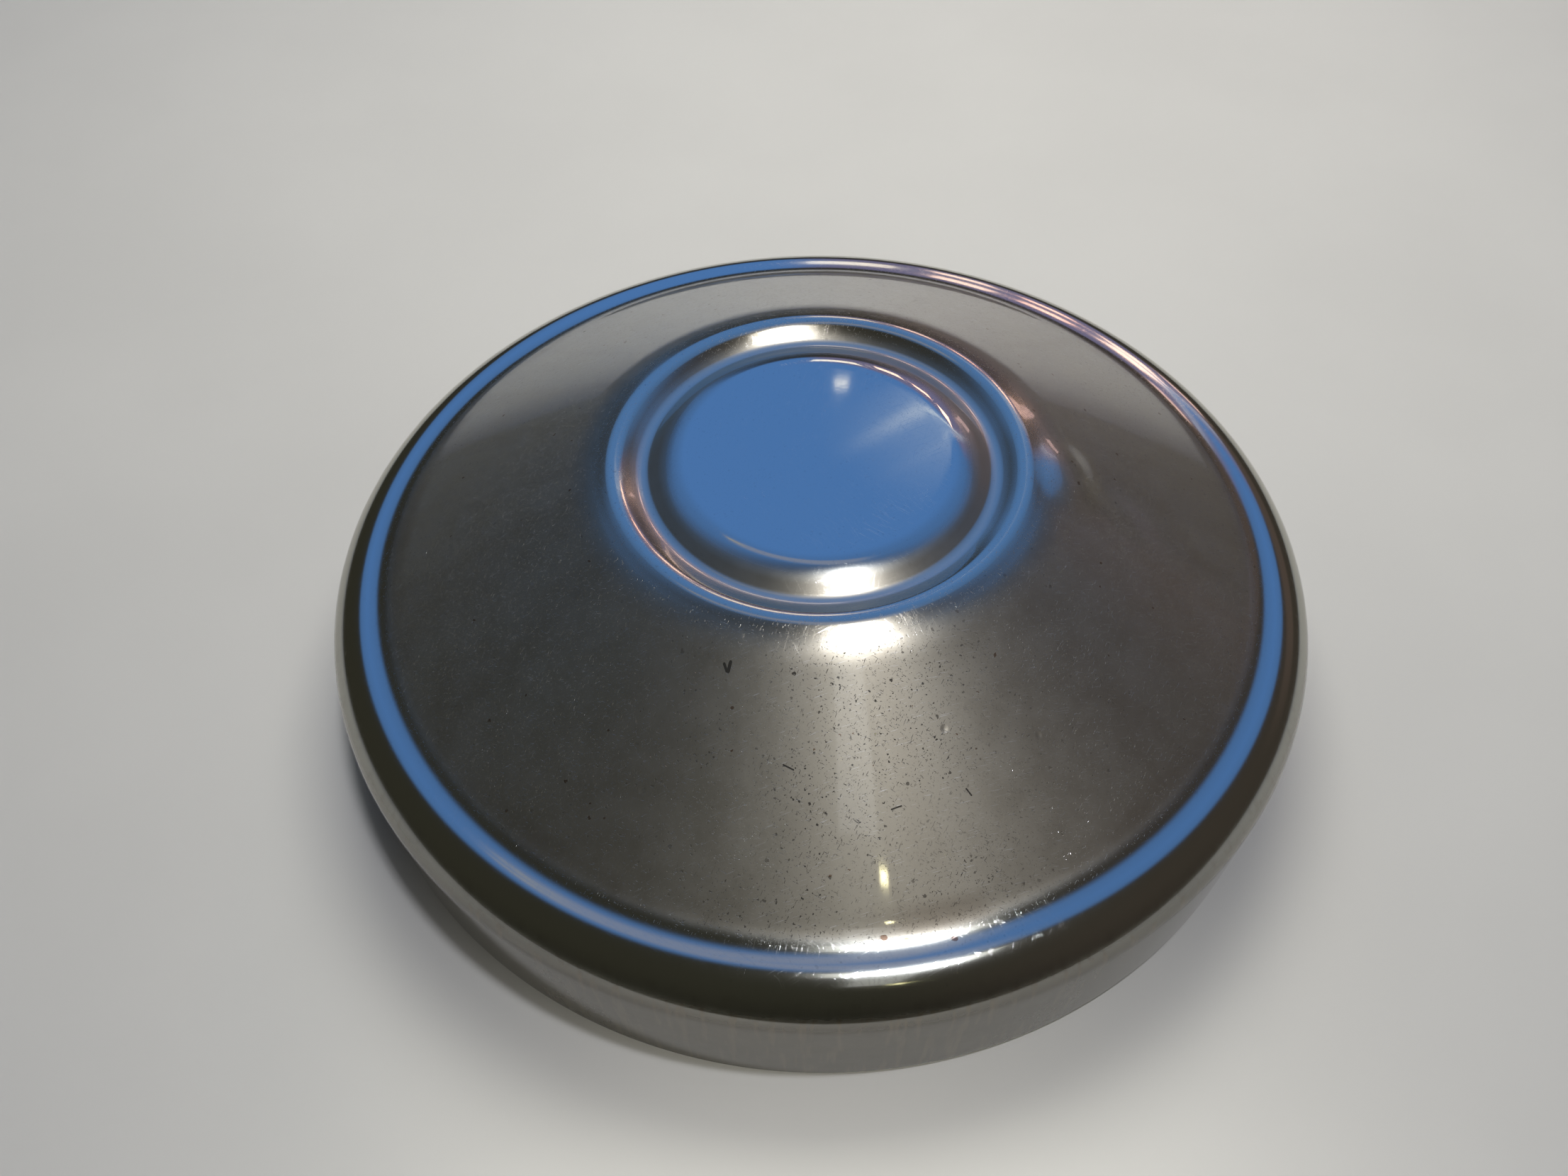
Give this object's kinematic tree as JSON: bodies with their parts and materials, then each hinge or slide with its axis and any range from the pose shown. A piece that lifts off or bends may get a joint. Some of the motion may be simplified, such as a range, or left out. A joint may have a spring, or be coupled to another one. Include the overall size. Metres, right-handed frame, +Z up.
{
  "type": "bedpan",
  "caption": "Round stainless bedpan with a rolled edge, sloping wall, ring-grooved base and an inward seat round its mouth.",
  "frame": {"origin": "centre of the plane that the pan rests on, lying on its seat as modelled", "axes": "+Z up through the middle of the base; the shape is round about Z, so X and Y are free"},
  "size_m": [0.29, 0.29, 0.0869],
  "materials": {
    "pan_sheet": "polished stainless sheet, spun marks, fine pits and a few dents",
    "seat_sheet": "polished stainless sheet",
    "solder": "dull smooth fillet"
  },
  "bodies": {
    "root": {"pan_body": "pan_sheet", "seat_ring": "seat_sheet", "seam_solder": "solder"}
  },
  "joints": []
}
